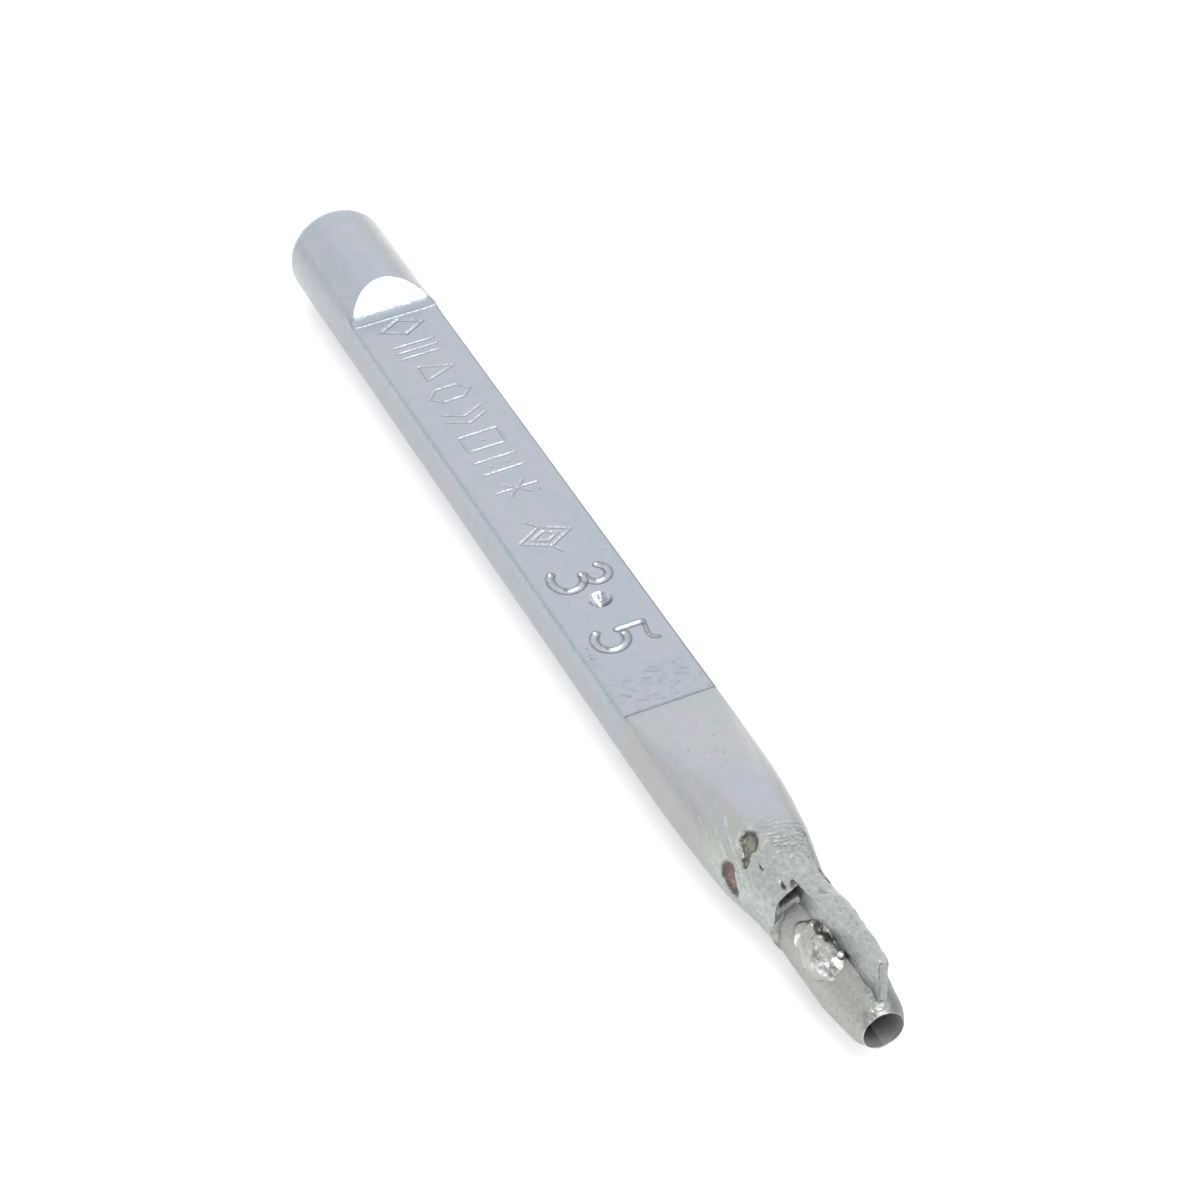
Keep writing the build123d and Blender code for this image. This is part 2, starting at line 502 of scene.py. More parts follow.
def shank_rows(angles):
    """Rows of places from the head's middle to the bar's end above the lip."""
    rows = []
    zeros = np.zeros_like(angles)
    turn = np.radians(angles)
    for share in head_face_shares:
        radius = share * bar_radius
        rows.append(to_frame(head_station + zeros, radius * np.sin(turn), radius * np.cos(turn)))
    for bend in np.radians(np.linspace(0, 90, head_rounding_rows)):
        radius = bar_radius - head_rounding * (1.0 - math.sin(bend))
        station = head_station - head_rounding * (1.0 - math.cos(bend))
        rows.append(to_frame(station + zeros, radius * np.sin(turn), radius * np.cos(turn)))
    arch = arch_station(angles)
    bar_start = head_station - head_rounding
    for share in np.append(steps(0.0, 0.96, 0.04)[1:], (0.985, 0.997, 1.0)):
        rows.append(bar_places(mix(bar_start, arch, share), angles))
    for share in np.append((0.012, 0.04, 0.08), steps(0.13, 1.0, 0.07)):
        rows.append(bar_places(mix(arch, ramp_end, share), angles))
    band = steps(ramp_end, band_start, 0.11)[1:]
    foot = ramp_foot + np.array((0.21, 0.17, 0.14, 0.1, 0.05))
    for station in np.concatenate([band, foot, flat_stations()]):
        rows.append(bar_places(station + zeros, angles))
    neck = [flat_end - np.array((0.03, 0.06, 0.1, 0.15)), steps(flat_end - 0.3, 34.0, 0.3)]
    for start, end, size in ((34.0, 28.5, 0.28), (28.5, 23.0, 0.25), (23.0, 20.8, 0.17), (20.8, 18.0, 0.1)):
        neck.append(steps(start, end, size)[1:])
    neck.append(steps(18.0, bar_end, 0.15)[1:])
    shift = through(lip_stations, angles) - lip_middle
    for station in np.concatenate(neck):
        rows.append(bar_places(station + shift * fade(17.5, bar_end, station), angles))
    return rows


def lip_and_web_rows(angles):
    """Rows from just above the lip, in under it beside the web, and out along the web to its end."""
    rows = []
    on_top = 1.0 - fade(19.0, 28.0, np.abs(leaning(angles)))
    lip = through(lip_stations, angles)
    recess = 0.9 * fade(-66.0, -48.0, angles) * (1.0 - fade(-9.0, -2.0, angles)) + 0.05
    above = bar_end + lip - lip_middle

    def blended(station, share):
        across, height = web_outline(station, angles)
        return mix(bar_places(station, angles), web_places(station, across, height), share[:, None])

    for share in np.linspace(0.0, 1.0, rows_above_lip + 1)[1:]:
        station = mix(above, lip, share)
        rows.append(blended(station, on_top * fade(0.0, 1.4, share)))
    top_share = float(fade(0.0, 1.4, 1.0))
    for share in (0.04, 0.12, 0.3, 0.5, 0.7, 0.85, 1.0):
        inward = np.minimum(share * 6.0, 1.0) * recess
        station = mix(lip + inward, lip - 0.7 * share, on_top)
        weight = mix(share, mix(top_share, 1.0, share), on_top)
        rows.append(blended(station, weight))
    start = mix(lip + recess, lip - 0.7, on_top)
    end = web_end_station(web_outline(np.full_like(angles, web_foot_end), angles)[1])
    for share in steps(0.0, 1.0, 0.016)[1:]:
        station = mix(start, end, share)
        across, height = web_outline(station, angles)
        corner = 0.12 * fade(0.97, 1.0, share) * fade(3.4, 4.4, height)
        rows.append(web_places(station, across, height - corner))
    middle = 0.5 * (web_foot_height + 4.2)
    for share in (0.94, 0.6, 0.25):
        inner = middle + (height - corner - middle) * (1.0 - 0.12 * (1.0 - share))
        squeezed = mix(middle, inner, share**0.3)
        rows.append(web_places(web_end_station(squeezed) - 0.03, across * share, squeezed))
    return rows


# Radii that turn angles on the neck into distances, for its dents and for its flow lines
dent_radius = 4.1
flow_radius = 4.2

# The keyhole pit's parts and the rusty pit: start and end as station and angle, radius at both
keyhole_parts = (
    ((19.9, -27), (19.45, -30), (0.78, 0.72)),
    ((19.3, -33), (18.6, -44), (0.45, 0.22)),
    ((18.6, -45), (18.35, -48), (0.36, 0.3)),
)
rusty_part = ((19.5, -71), (18.4, -85), (0.8, 0.62))
rusty_middle_angle = -79.0

# Small pits on the neck: station and angle, half length and half width, depth
neck_pits = (
    ((17.2, -35), (0.42, 0.14), 0.14),
    ((14.6, -25), (0.5, 0.24), 0.2),
    ((15.3, 42), (0.75, 0.2), 0.1),
)

# Specks on the crown: station, angle
crown_specks = (
    (33.4, -15), (32.4, 14), (29.6, 8), (30.1, -4), (30.2, 2), (31.5, -25), (30.9, -40), (27.9, -4),
)

# Dents on the web's top: station and angle, half length and half width, depth, seed
web_dents = (
    ((12.2, 14), (0.5, 0.5), 0.12, 1.0),
    ((10.6, 22), (0.3, 0.3), 0.12, 3.0),
    ((9.2, 12), (0.28, 0.224), 0.1, 9.2),
    ((8.3, 23), (0.22, 0.176), 0.1, 8.3),
    ((7.1, 20), (0.2, 0.16), 0.1, 7.1),
    ((6.0, 24), (0.25, 0.2), 0.1, 6.0),
    ((5.0, 15), (0.18, 0.144), 0.1, 5.0),
)

# Lines drawn out by the forging: points as station and angle, half width
flow_hollows = (
    (((25.4, -47), (23.6, -56), (21.4, -63), (20.3, -67)), 1.1),
    (((23.6, -26), (21.9, -30), (20.8, -32)), 0.8),
)
flow_ridges = (
    (((23.7, -31), (22.3, -38), (19.9, -49), (18.2, -58)), 0.13),
    (((25.8, -53), (23.6, -62), (21.0, -70)), 0.11),
    (((24.6, -42), (22.0, -53), (19.6, -62)), 0.09),
)
wrinkle_pitch = 0.42
wrinkle_middle_angle = 18.0


def pit(station, angles, at, size, depth, seed=0.0):
    """A dent with a ragged outline: at is its station and angle, size its half length and half width."""
    arc_length = np.radians(angles - at[1]) * dent_radius
    ragged = 1.0 + 0.12 * np.sin(3.0 * np.arctan2(arc_length, station - at[0]) + seed)
    near = np.hypot((station - at[0]) / size[0], arc_length / size[1]) / ragged
    return depth * (1.0 - fade(0.55, 1.0, near))


def taper(station, angles, start, end, radii):
    """How near each place is to a tapering dent from start to end: 1 on its outline, less inside."""
    x, y = station - start[0], np.radians(angles - start[1]) * dent_radius
    run = np.array((end[0] - start[0], math.radians(end[1] - start[1]) * dent_radius))
    t = np.clip((x * run[0] + y * run[1]) / (run @ run), 0.0, 1.0)
    return np.hypot(x - t * run[0], y - t * run[1]) / mix(radii[0], radii[1], t)


def flow_lines(station, angles, drawn):
    """1 along each line of stations and angles, falling to 0 at its half width."""
    strength = np.zeros(station.shape)
    for line, half_width in drawn:
        arc_line = np.array([(s, math.radians(a) * flow_radius) for s, a in line])
        near = distance_to(arc_line, station, np.radians(angles) * flow_radius) / half_width
        strength = np.maximum(strength, 1.0 - fade(0.2, 1.0, near))
    return strength


class ShankSurface:
    """The shank's grid of places, with what is stamped, forged and worn into it."""

    def __init__(self):
        angles = column_angles()
        rows = shank_rows(angles)
        self.lip_start = len(rows) + rows_above_lip
        self.places = np.array(rows + lip_and_web_rows(angles))
        self.station = mouth_x - self.places[:, :, 0]
        self.y = self.places[:, :, 1]
        self.around = np.broadcast_to(angles, self.station.shape)
        self.lean = leaning(self.around)
        self.normals = grid_normals(self.places)
        self.grain = lumps(self.places, 0.3, 8.0)
        self.mottle = lumps(self.places, 0.33, 24.0)
        self.find_zones()
        self.find_stamps()
        self.find_pits()
        self.find_forging_lines()
        self.places = self.places + self.normals * self.relief()[:, :, None]
        self.tilts = grid_normals(self.places)

    def find_zones(self):
        """Parts of the shank that the features and the looks refer to."""
        station, around = self.station, self.around
        self.over_flat = np.abs(around) < flat_edge_angle
        inside_edges = np.abs(around) < flat_edge_angle - 0.5
        self.on_flat = inside_edges & (station < ramp_foot - 0.05) & (station > flat_end + 0.05)
        self.on_bar = station > 13.7
        self.in_neck = fade(27.0, 22.0, station)
        self.beyond_lip = fade(14.0, 12.0, station)
        self.left_of_web = fade(-20.0, -30.0, self.lean)
        self.along_edge = fade(103.0, 100.5, station) * fade(38.0, 42.0, station)
        self.edge = bell(around, -flat_edge_angle - 3.0, 3.2) * self.along_edge
        self.end_line = bell(station, flat_end - 0.07, 0.17) * self.over_flat

    def find_stamps(self):
        """Depth of the stamps, and which of the places are stamped."""
        self.depth = stamped_depth(self.station, self.y)
        self.stamped = self.on_flat * (self.depth > 0.01)
        self.by_digits = self.station < three_station + digit_reach

    def find_pits(self):
        """The keyhole pit, the rusty pit, the small ones beside them, and the web's dents."""
        station, around = self.station, self.around
        parts = [taper(station, around, *keyhole_part) for keyhole_part in keyhole_parts]
        self.keyhole = np.minimum.reduce(parts) + 0.2 * self.grain
        self.rusty = taper(station, around, *rusty_part) + 0.2 * self.grain
        self.rims = bell(self.keyhole, 1.3, 0.25) + bell(self.rusty, 1.3, 0.25)
        self.small_pits = sum(pit(station, around, *neck_pit) for neck_pit in neck_pits)
        for at in crown_specks:
            far = np.hypot(station - at[0], np.radians(around - at[1]) * dent_radius)
            self.small_pits = self.small_pits + 0.03 * bell(far, 0.0, 0.12)
        self.dents = sum(pit(station, around, *dent) for dent in web_dents)

    def find_forging_lines(self):
        """Flow lines on the neck's left, wrinkles across its top, and worm-like creases beyond them."""
        station, around, places = self.station, self.around, self.places
        self.flow = flow_lines(station, around, flow_hollows)
        self.ridge = flow_lines(station, around, flow_ridges)
        self.ridge = self.ridge * fade(-0.4, 0.2, lumps(places, 0.7, 17.0))
        across_neck = fade(-16.0, -4.0, around) * fade(62.0, 50.0, around)
        self.wrinkle_zone = fade(21.4, 20.2, station) * fade(16.4, 18.2, station) * across_neck
        wander = 3.4 * lumps(places, 2.2, 4.0) + 2.4 * lumps(places, 0.8, 5.0)
        bowed = station - 0.00045 * (around - wrinkle_middle_angle) ** 2
        self.wrinkles = np.sin(bowed * 2.0 * math.pi / wrinkle_pitch + wander)
        worm_zone = fade(20.6, 19.2, station) * fade(15.6, 17.0, station) * across_neck
        worms = 1.0 - fade(0.02, 0.12, np.abs(lumps(places * (1.8, 0.7, 0.7), 0.75, 26.0)))
        self.worms = worms * worm_zone

    def relief(self):
        """How far each place moves out along its normal."""
        station, around, places, grain = self.station, self.around, self.places, self.grain
        move = np.where(self.on_flat, -self.depth, 0.0)
        move += self.on_flat * (self.depth > 0.06) * self.by_digits * 0.025 * self.mottle
        hollow = 0.34 * fade(1.0, 0.6, self.keyhole) + 0.3 * fade(1.0, 0.6, self.rusty)
        move -= np.where(self.on_bar, hollow + self.small_pits, self.dents)
        move += np.where(self.on_bar, 0.05 * self.rims + 0.05 * self.ridge - 0.03 * self.flow, 0.0)
        broken = fade(-0.3, 0.2, lumps(places, 1.0, 6.0))
        move += 0.028 * self.wrinkles * self.wrinkle_zone * broken - 0.05 * self.worms
        rough_zone = fade(21.5, 18.0, station) * (1.0 - 0.9 * self.left_of_web * self.beyond_lip)
        rough = 0.06 * lumps(places, 1.3, 1.0) + 0.045 * lumps(places, 0.55, 2.0) + 0.015 * grain
        move += rough_zone * rough
        web_zone = self.beyond_lip * (1.0 - 0.88 * self.left_of_web)
        move += web_zone * (0.04 * lumps(places, 0.7, 7.0) + 0.015 * grain)
        ramp_shoulders = bell(around, 63.0, 5.0) + 0.6 * bell(around, -60.5, 4.0)
        move += 0.2 * bell(station, 103.2, 0.9) * ramp_shoulders
        move += 0.03 * self.edge * lumps(places, 0.35, 18.0) - 0.07 * self.end_line
        for at in flat_pits:
            move -= 0.05 * bell(np.hypot(station - at[0], self.y - at[1]), 0.0, 0.1) * self.on_flat
        move[self.lip_start:self.lip_start + still_rows] = 0.0
        return move

    def flat_looks(self):
        """Painted shade in dark lines and painted highlights on the walls, on the flat and at the ramp's
        foot, besides the flat's dark scratches and specks.
        """
        station, y, tilts = self.station, self.y, self.tilts
        away_from_mouth = np.maximum(-tilts[:, :, 0], 0.0)
        # Painted shade on the stamps' walls that turn away from the mouth and the light
        groove_painted_shade = self.stamped * np.clip(0.75 * away_from_mouth + 0.15 * np.abs(tilts[:, :, 1]), 0, 0.5)
        strength = 0.35 + 0.1 * self.by_digits
        # Painted highlights on the stamps' walls that turn towards the mouth
        lit_walls = self.stamped * strength * fade(0.08, 0.26, tilts[:, :, 0])
        lit_walls = lit_walls * fade(-0.4, 0.05, self.mottle)
        outlines = self.on_flat * (station < three_station + digit_reach + 0.2) * outline_marks(station, y)
        from_dimple = np.hypot(station - dimple_station, y - dimple_y)
        rim_shade = bell(from_dimple, dimple_radius, 0.12) * fade(0.4, -0.4, station - dimple_station)
        rough_patch = bell(station, 47.2, 1.5) * bell(y, -3.7, 0.35) * fade(-0.1, 0.3, self.mottle)
        specky = fade(0.12, 0.4, lumps(self.places * (2.6, 0.8, 1.0), 0.45, 25.0))
        specky = specky * fade(44.6, 43.0, station)
        scratched = np.zeros_like(station)
        for ends in flat_scratches:
            scratched = np.maximum(scratched, fade(0.1, 0.03, distance_to(np.array(ends), station, y)))
        # Scratches, specks and a rough patch, with painted shade on the dimple's lower rim
        wear_and_rim_shade = self.on_flat * (0.45 * scratched + 0.18 * specky + 0.5 * rough_patch + 0.5 * rim_shade)
        # Painted shade along the end line's crease, in two thin lines across the band, and round the digits
        band_lines = bell(station, ramp_end - 0.22, 0.09) + bell(station, ramp_foot + 0.3, 0.06)
        shade = 0.9 * self.end_line + 0.2 * band_lines * self.over_flat + groove_painted_shade + wear_and_rim_shade
        shade = shade + 0.85 * outlines * (1.0 - 0.5 * lit_walls)
        # A painted highlight along the ramp's foot
        foot_line = bell(station, ramp_foot + 0.17, 0.05) * self.over_flat
        return shade, np.maximum(0.8 * lit_walls, 0.5 * foot_line)

    def neck_looks(self):
        """Painted shade in the neck's creases and on the faces of the neck and the web that turn from the
        light, and painted highlights on the ridges, the pit rims and the web's edge.
        """
        station, around, lean = self.station, self.around, self.lean
        on_web = (station < 13.2) * (np.abs(lean) < web_side_angle)
        self.web_side = on_web * fade(-22.0, -27.0, lean)
        web_edge = on_web * bell(lean, -web_top_angle, 1.5)
        web_end = np.zeros_like(station)
        web_end[-web_end_rows:] = 1.0
        # Dark dots along the flat's left edge
        shade = 0.2 * self.edge * fade(-0.2, 0.3, lumps(self.places, 0.4, 19.0))
        # Painted shade in the wrinkles' troughs and in the worm-like creases
        shade = shade + 0.28 * self.wrinkle_zone * np.clip(-self.wrinkles, 0, 1) + 0.5 * self.worms
        # Painted shade on the neck's right side and on the web's end face
        neck_right = fade(28.0, 22.0, station) * fade(20.0, 60.0, around)
        shade = shade + 0.24 * web_end + 0.1 * neck_right
        # Painted shade on the web's left face, darker towards its foot
        shade = shade + self.web_side * (0.15 + 0.24 * fade(-70.0, -118.0, lean))
        # Painted highlights on the neck's ridges, the pits' rims and the web's top edge
        rim_glints = fade(0.0, 0.4, lumps(self.places, 0.6, 20.0)) * np.clip(self.rims, 0, 1)
        glints = (0.4 * self.ridge * self.in_neck, 0.35 * rim_glints * self.on_bar, 0.12 * web_edge)
        return shade, np.maximum.reduce(glints)

    def soot_and_shade(self):
        """Darkening in the pits' walls, the dents and the specks, the rusty pit's dark ends, and painted
        shade in the recess under the lip.
        """
        station, around = self.station, self.around
        walls = bell(self.keyhole, 0.85, 0.2) + bell(self.rusty, 0.9, 0.2)
        from_middle = np.abs(around - rusty_middle_angle)
        rust_ends = fade(1.05, 0.7, self.rusty) * fade(3.0, 8.0, from_middle)
        # Painted shade in the recess under the lip
        inside_lip = np.zeros_like(station)
        shaded = slice(self.lip_start, self.lip_start + shaded_rows)
        inside_lip[shaded] = fade(0.0, 0.35, station - through(lip_stations, around))[shaded]
        dented = np.clip(6.0 * self.dents, 0, 0.55) * fade(-0.3, 0.2, self.grain)
        specks = np.where(self.on_bar, np.clip(12.0 * self.small_pits, 0, 1), dented)
        for at in flat_pits:
            strength = 0.35 + 0.1 * (at[0] % 3)
            far = np.hypot(station - at[0], self.y - at[1])
            specks = np.maximum(specks, strength * bell(far, 0.0, 0.11) * self.on_flat)
        in_pits = np.maximum(0.9 * walls, 0.5 * rust_ends) * self.on_bar
        return np.maximum.reduce((in_pits, specks, inside_lip))

    def side_shade_and_edge_tint(self):
        """Painted shade of the bar's two sides by where the smooth surface faces, a pinkish darkening and a
        grey one, and a greenish tint along the flat's left edge.
        """
        station, sideways = self.station, self.normals[:, :, 1]
        edge_tint = bell(self.around, -65.0, 5.0) * self.along_edge
        left = 0.3 * fade(-0.2, -0.5, sideways) + 0.7 * fade(-0.7, -0.88, sideways)
        left = left * (1.0 - 0.6 * edge_tint)
        by_head, by_neck = fade(0.09, 0.7, sideways), fade(0.37, 0.77, sideways)
        right = mix(by_head, by_neck, fade(90.0, 60.0, station))
        shade = fade(0.5, 0.8, sideways) * mix(0.25, 0.75, fade(90.0, 40.0, station))
        return np.maximum(left, right), edge_tint, shade

    def marks(self):
        """What the material reads at each vertex, with the head's and the web's end centres added."""
        station, around = self.station, self.around
        flat_shade, flat_glints = self.flat_looks()
        neck_shade, neck_glints = self.neck_looks()
        pink_side_shade, edge_tint, side_shade = self.side_shade_and_edge_tint()
        matt = fade(23.5, 17.5, station + 0.03 * around - 1.2 * lumps(self.places, 2.0, 9.0))
        above_foot = fade(ramp_foot + 0.05, ramp_foot + 0.15, station)
        band = self.over_flat * above_foot * fade(ramp_end, ramp_end - 0.2, station)
        marks = {
            "matt": matt * (1.0 - 0.2 * self.web_side),
            "rust": fade(1.0, 0.75, self.rusty) * self.on_bar,
            "dirt": fade(1.0, 0.75, self.keyhole) * self.on_bar,
            "soot_and_shade": self.soot_and_shade(),
            "green": 0.7 * self.flow * self.in_neck,
            "shade": flat_shade + neck_shade + side_shade,
            "bright": np.maximum(flat_glints, neck_glints),
            "pink_side_shade": pink_side_shade,
            "warm": fade(39.3, 38.0, station),
            "edge": np.maximum(0.6 * band, edge_tint),
            "blue": bell(station, 24.0, 2.4) * bell(around, 12.0, 24.0),
        }
        for name, values in marks.items():
            values = np.clip(values, 0, 1)
            marks[name] = np.append(values.ravel(), (0.0, values[-1].mean()))
        return marks


def build_shank(material):
    """Bar, flat, neck and web: one piece of metal."""
    surface = ShankSurface()
    places = surface.places
    rows, columns = surface.station.shape
    head_centre = np.array([[mouth_x - head_station, 0.0, axis_height]])
    end_centre = places[-1].mean(axis=0, keepdims=True)
    everything = np.concatenate([places.reshape(-1, 3), head_centre, end_centre])
    last = rows * columns
    faces = [face[::-1] for face in grid_faces(rows, columns)]
    faces += cap_faces(list(range(columns)), last, False)
    faces += cap_faces(list(range(last - columns, last)), last + 1, True)
    marks = surface.marks()
    return make_piece("shank_looks", everything, faces, material, ["shank"], marks)


# ---- the cutting tube


def tube_places(station, angles, radius):
    """Places round the tube's axis."""
    turn = np.radians(angles)
    return to_frame(station, radius * np.sin(turn), tube_level + radius * np.cos(turn))


def build_tube(material):
    """The tube: ground outside to a ragged sharp mouth, open bore, and a slug window below."""
    columns = 168
    angles = np.linspace(-180, 180, columns, endpoint=False)
    bevel = [steps(5.2, 0.4, 0.1)[1:], steps(0.4, 0.03, 0.06)[1:]]
    outer = np.concatenate([steps(tube_back, 5.2, 0.22), *bevel])
    bore = np.concatenate([[0.03, 0.12, 0.3], steps(0.6, tube_back, 0.45)])
    stations = np.concatenate([outer, [0.0], bore])
    edge_radius = 0.5 * (through(tube_outline, 0.0) + bore_radius)
    radii = np.concatenate([through(tube_outline, outer), [edge_radius], np.full(len(bore), bore_radius)])
    station = np.repeat(stations[:, None], columns, axis=1)
    around = np.broadcast_to(angles, station.shape)
    radius = np.repeat(radii[:, None], columns, axis=1)
    places = tube_places(station, around, radius)
    outside = np.zeros_like(station)
    outside[:len(outer)] = 1.0
    ground = 0.018 * lumps(places * (4.0, 1.0, 1.0), 0.8, 11.0) + 0.03 * lumps(places, 1.2, 12.0)
    foot_band = bell(around, 2.0, 14.0) * fade(9.0, 6.0, station) * fade(1.2, 2.4, station)
    ground += foot_band * (0.05 + 0.05 * lumps(places, 0.5, 14.0))
    nicks = fade(0.1, 0.4, lumps(places * (0.6, 1.0, 1.0), 0.34, 13.0)) * bell(around, -18.0, 40.0)
    near_mouth = fade(1.5, 0.2, station)
    radius = radius + outside * (ground - 0.1 * nicks * near_mouth)
    station = station + 0.05 * fade(0.5, 0.0, station) * (lumps(places, 0.6, 15.0) + nicks) + 0.004
    places = tube_places(station, around, radius)
    burr = 0.7 * fade(0.05, 0.3, lumps(places, 0.3, 27.0)) * bell(around, -12.0, 34.0)
    burr = burr * fade(1.4, 0.5, station) * fade(0.02, 0.15, station) * outside
    faces = [face[::-1] for face in grid_faces(len(stations), columns, close_rows=True)]
    inside = 1.0 - outside
    # Painted shade in the bore: darker further in and on its left side, lighter on its right
    bore_shade = 0.1 + 0.8 * fade(0.3, 4.0, station)
    bore_shade += 0.25 * fade(-20.0, -90.0, around) - 0.38 * fade(20.0, 90.0, around)
    # Painted shade on the tube's right side and next to the lip
    outer_shade = 0.9 * fade(-2.0, 36.0, around) + 0.25 * fade(9.0, 12.5, station)
    # The bright mark is painted highlights on the mouth's nicks and along its edge
    marks = {
        "matt": np.ones_like(station),
        "soot_and_shade": np.clip(0.3 * foot_band * fade(0.1, 0.4, lumps(places, 0.35, 16.0)) + burr, 0, 1),
        "bore": inside * fade(0.0, 0.15, station),
        "shade": inside * bore_shade + outside * outer_shade,
        "bright": np.clip(0.45 * nicks * near_mouth + 0.8 * fade(0.1, 0.0, station), 0, 1) * outside,
    }
    name, slot = "cutting_tube_looks", "zinc_plated_tube"
    piece = make_piece(name, places.reshape(-1, 3), faces, material, ["cutting_tube"], marks)
    cut_window(piece)
    return piece


def cut_window(piece):
    """Cuts the slug window through the tube's underside."""
    half = window_width / 2
    outline = []
    for centre, start in ((window_front + half, -90), (window_back - half, 90)):
        for turn in np.radians(np.linspace(start, start + 180, 17)):
            outline.append((mouth_x - centre + half * math.cos(turn), half * math.sin(turn)))
    count = len(outline)
    top = axis_height + tube_level
    places = [(x, y, level) for level in (top, top - 4.0) for x, y in outline]
    faces = [tuple(range(count)), tuple(range(2 * count - 1, count - 1, -1))]
    faces += [(k, k + count, (k + 1) % count + count, (k + 1) % count) for k in range(count)]
    cutter = put_in_scene("window_cutter", new_mesh("window_cutter", places, faces))
    change = piece.modifiers.new("window", "BOOLEAN")
    change.object = cutter
    change.operation = "DIFFERENCE"
    change.solver = "EXACT"
    bpy.context.view_layer.update()
    cut = bpy.data.meshes.new_from_object(piece.evaluated_get(bpy.context.evaluated_depsgraph_get()))
    piece.modifiers.clear()
    piece.data = cut
    bpy.data.objects.remove(cutter)


# ---- weld metal


# How deep a weld patch's skirt lies under the tube's surface, and how far its underside does
patch_sink = 0.05
patch_root = 0.45

# Cracks in the left bead's top, and the painted highlight of a crescent on its lower side, in the patch's own
# plane
inner_crack = ((0.62, 0.56), (0.5, 0.42), (0.3, 0.38), (0.16, 0.46), (-0.04, 0.52))
outer_crack = ((0.9, 0.72), (0.62, 0.86), (0.3, 0.93), (0.02, 0.86))
crescent_highlight = ((0.62, -0.3), (0.6, -0.52), (0.52, -0.76), (0.36, -0.9), (0.12, -0.97))


def patch_faces(rings, spokes):
    """Faces of a patch's top and underside, of the rim between them, and round a centre on each."""
    count = rings * spokes
    grid = grid_faces(rings, spokes)
    rim = list(range(count - spokes, count))
    faces = [face[::-1] for face in grid]
    faces += [tuple(k + count for k in face) for face in grid]
    faces += [(a + count, b + count, b, a) for a, b in zip(rim, rim[1:] + rim[:1])]
    faces += cap_faces(list(range(spokes)), 2 * count, True)
    faces += cap_faces(list(range(count, count + spokes)), 2 * count + 1, False)
    return faces


def crack_relief(u, v, base, seed):
    """1 along the cracks, falling to 0 beside them."""
    inner = distance_to(np.array(inner_crack), u, v)
    outer = distance_to(np.array(outer_crack), u, v)
    nearest = np.minimum(inner, 0.8 * outer) + 0.07 * lumps(base, 0.4, seed + 4)
    return bell(nearest, 0.0, 0.1)


def build_patch(node, centre, half_size, height, bumps, material, seed, crack_depth=0.0, glints=()):
    """A run of weld metal on the tube: a low mound with lumps, its underside inside the tube's wall."""
    rings, spokes = 47, 110
    share = np.linspace(0.0, 1.0, rings + 1)[1:, None]
    turn = np.linspace(0, 2 * math.pi, spokes, endpoint=False)
    ragged = 1.0 + 0.07 * np.sin(3 * turn + seed) + 0.05 * np.sin(5 * turn + 2 * seed)
    ragged = ragged + 0.03 * np.sin(9 * turn + seed)
    u = share * np.cos(turn) * ragged
    v = share * np.sin(turn) * ragged
    station = centre[0] + half_size[0] * u
    angles = centre[1] + np.degrees(half_size[1] * v / tube_radius)
    base = tube_places(station, angles, tube_radius)
    full_rise = np.full_like(u, height)
    for bump_u, bump_v, size, lift in bumps:
        full_rise += lift * bell(np.hypot(u - bump_u, v - bump_v), 0.0, size)
    full_rise = full_rise * (1.0 + 0.15 * lumps(base, 0.9, seed)) + 0.07 * lumps(base, 0.5, seed + 1)
    crack = crack_depth * crack_relief(u, v, base, seed)
    rise = (full_rise + 0.02 * lumps(base, 0.22, seed + 2)) * fade(-1.15, -0.5, u) - crack
    dome = np.sqrt(1.0 - share**2.4)
    wall = through(tube_outline, station)
    top = tube_places(station, angles, wall + rise * dome - patch_sink)
    bottom = tube_places(station, angles, wall - patch_root)
    middle = through(tube_outline, centre[0])
    lifts = (rise[0].mean() - patch_sink, -patch_root)
    centres = [tube_places(centre[0], centre[1], middle + lift) for lift in lifts]
    places = np.concatenate([top.reshape(-1, 3), bottom.reshape(-1, 3), centres])
    # Painted shade and weld soot in the cracks
    soot_and_shade = np.clip(2.2 * crack, 0, 1) * fade(-0.75, -0.1, lumps(top, 0.4, seed + 3))
    # Painted shade in the low places and along most of the bead's rim
    shade = np.clip((height + 0.05 - full_rise) / 0.5, 0, 0.4)
    shade = shade + 0.35 * fade(0.9, 1.0, share) * fade(-0.5, 0.0, u)
    # Painted highlights: the crescent and the glints
    bright = fade(0.1, 0.045, distance_to(np.array(crescent_highlight), u, v)) * (crack_depth > 0.0)
    for glint_u, glint_v, size, strength in glints:
        glint = bell(np.hypot(u - glint_u, v - glint_v), 0.0, size) + 0.8 * lumps(top, 0.3, seed + 5)
        bright = np.maximum(bright, 0.85 * strength * fade(0.3, 1.05, glint))
    underside = np.zeros(u.size + 2)
    marks = {"matt": np.full(len(places), 0.3)}
    for name, values in (("soot_and_shade", soot_and_shade), ("shade", shade), ("bright", bright)):
        marks[name] = np.append(np.clip(values, 0, 1).ravel(), underside)
    faces = patch_faces(rings, spokes)
    return make_piece(node + "_looks", places, faces, material, [node], marks)


